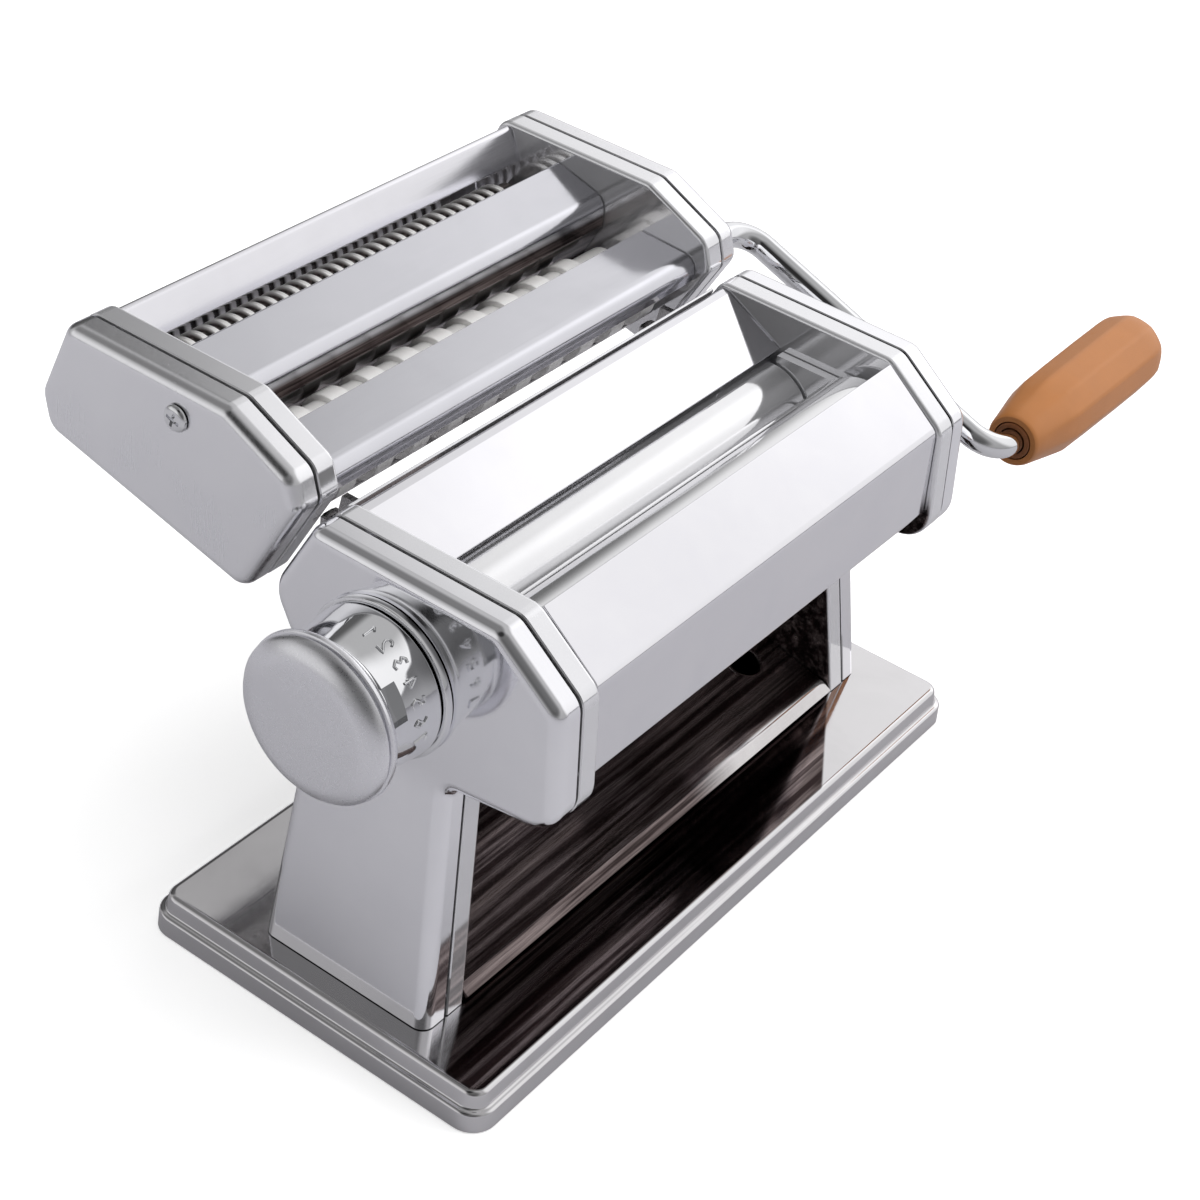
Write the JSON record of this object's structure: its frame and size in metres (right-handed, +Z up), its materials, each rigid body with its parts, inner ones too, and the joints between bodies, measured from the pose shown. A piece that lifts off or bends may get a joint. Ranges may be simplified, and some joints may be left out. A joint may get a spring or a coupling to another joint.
{
  "type": "manual pasta machine",
  "caption": "Hand-cranked pasta machine: splayed steel legs on a pressed base, smooth roller head with thickness knob, lift-off noodle cutter unit at the back and a crank with a turning grip.",
  "frame": {"origin": "on the table under the base, midway between the legs", "axes": "+X along the rollers towards the crank, +Y to the back where the cutter unit sits, +Z up"},
  "size_m": [0.325, 0.1692, 0.1465],
  "materials": {
    "polished_steel": "polished stainless steel",
    "chromed_steel": "mirror chrome",
    "plain_steel": "plain steel",
    "bearing_brass": "sintered brass",
    "orange_plastic": "satin orange-tan plastic",
    "brown_plastic": "dark brown plastic",
    "black_rubber": "matt black rubber sheet"
  },
  "bodies": {
    "frame": {"base_plate": "polished_steel", "base_liner": "black_rubber", "chute_plate": "polished_steel", "side_frame_left": "chromed_steel", "side_frame_right": "chromed_steel", "side_cover_left": "polished_steel", "side_cover_right": "polished_steel", "roller_guide_left": "polished_steel", "roller_guide_right": "polished_steel", "front_panel": "chromed_steel", "hopper_plate": "chromed_steel", "rear_panel": "polished_steel", "scraper_front": "polished_steel", "scraper_rear": "polished_steel", "tie_rod_front": "plain_steel", "tie_rod_rear": "plain_steel", "cutter_rail_left": "polished_steel", "cutter_rail_right": "polished_steel", "drive_bushing": "chromed_steel", "knob_collar": "chromed_steel", "knob_spring": "plain_steel"},
    "adjuster": {"adjuster_shaft": "plain_steel"},
    "knob": {"knob_sleeve": "chromed_steel", "knob_cap": "chromed_steel"},
    "roller_carriage": {"rear_bearing_left": "bearing_brass", "rear_bearing_right": "bearing_brass"},
    "rear_roller": {"rear_roller": "chromed_steel", "rear_roller_gear": "plain_steel"},
    "front_roller": {"front_roller": "chromed_steel", "front_roller_gear": "plain_steel"},
    "cutter_unit": {"cutter_frame_left": "chromed_steel", "cutter_frame_right": "chromed_steel", "cutter_cover_left": "polished_steel", "cutter_cover_right": "polished_steel", "cutter_screw_left": "chromed_steel", "cutter_screw_right": "chromed_steel", "cutter_hook_left": "polished_steel", "cutter_hook_right": "polished_steel", "cutter_plate_back": "chromed_steel", "cutter_plate_middle": "chromed_steel", "cutter_plate_front": "chromed_steel", "cutter_rear_wall": "polished_steel", "wide_comb": "plain_steel", "fine_comb": "plain_steel"},
    "wide_front": {"wide_cutter_front": "chromed_steel", "wide_gear_front": "plain_steel", "drive_socket": "plain_steel"},
    "wide_rear": {"wide_cutter_rear": "chromed_steel", "wide_gear_rear": "plain_steel"},
    "fine_front": {"fine_cutter_front": "chromed_steel", "fine_gear_front": "plain_steel"},
    "fine_rear": {"fine_cutter_rear": "chromed_steel", "fine_gear_rear": "plain_steel"},
    "crank": {"crank_rod": "chromed_steel"},
    "handle": {"handle_bushing": "brown_plastic", "handle_grip": "orange_plastic"}
  },
  "joints": [
    {"name": "knob_pull", "type": "slide", "parent": "frame", "child": "adjuster", "axis": [-1, 0, 0], "range_m": [0, 0.004], "stiffness_N_per_m": 500, "springref_m": -0.002},
    {"name": "knob_turn", "type": "hinge", "parent": "adjuster", "child": "knob", "pos_m": [0, 0.0019, 0.0993], "axis": [1, 0, 0], "range_deg": [0, 270]},
    {"name": "gap_shift", "type": "slide", "parent": "frame", "child": "roller_carriage", "axis": [0, -1, 0], "range_m": [0, 0.0016]},
    {"name": "rear_roller_spin", "type": "hinge", "parent": "roller_carriage", "child": "rear_roller", "pos_m": [0, 0.0042, 0.1002], "axis": [1, 0, 0], "continuous": true},
    {"name": "front_roller_spin", "type": "hinge", "parent": "frame", "child": "front_roller", "pos_m": [0, -0.0247, 0.1078], "axis": [1, 0, 0], "continuous": true},
    {"name": "cutter_lift_off", "type": "slide", "parent": "frame", "child": "cutter_unit", "axis": [0, 0, 1], "range_m": [0, 0.04]},
    {"name": "crank_turn", "type": "hinge", "parent": "cutter_unit", "child": "wide_front", "pos_m": [0, 0.0469, 0.1208], "axis": [1, 0, 0], "continuous": true},
    {"name": "wide_cutter_rear_spin", "type": "hinge", "parent": "cutter_unit", "child": "wide_rear", "pos_m": [0, 0.0615, 0.1179], "axis": [1, 0, 0], "continuous": true},
    {"name": "fine_cutter_spin", "type": "hinge", "parent": "cutter_unit", "child": "fine_front", "pos_m": [0, 0.0812, 0.128], "axis": [1, 0, 0], "continuous": true},
    {"name": "fine_cutter_rear_spin", "type": "hinge", "parent": "cutter_unit", "child": "fine_rear", "pos_m": [0, 0.0953, 0.1241], "axis": [1, 0, 0], "continuous": true},
    {"name": "crank_pull_out", "type": "slide", "parent": "wide_front", "child": "crank", "axis": [1, 0, 0], "range_m": [0, 0.025]},
    {"name": "handle_spin", "type": "hinge", "parent": "crank", "child": "handle", "pos_m": [0, -0.045, 0.087], "axis": [1, 0, 0], "continuous": true}
  ],
  "couplings": [
    {"joint": "rear_roller_spin", "follows": "front_roller_spin", "ratio": -1},
    {"joint": "knob_turn", "follows": "gap_shift", "rad_per_m": 2945.2},
    {"joint": "wide_cutter_rear_spin", "follows": "crank_turn", "ratio": -1},
    {"joint": "fine_cutter_rear_spin", "follows": "fine_cutter_spin", "ratio": -1}
  ]
}
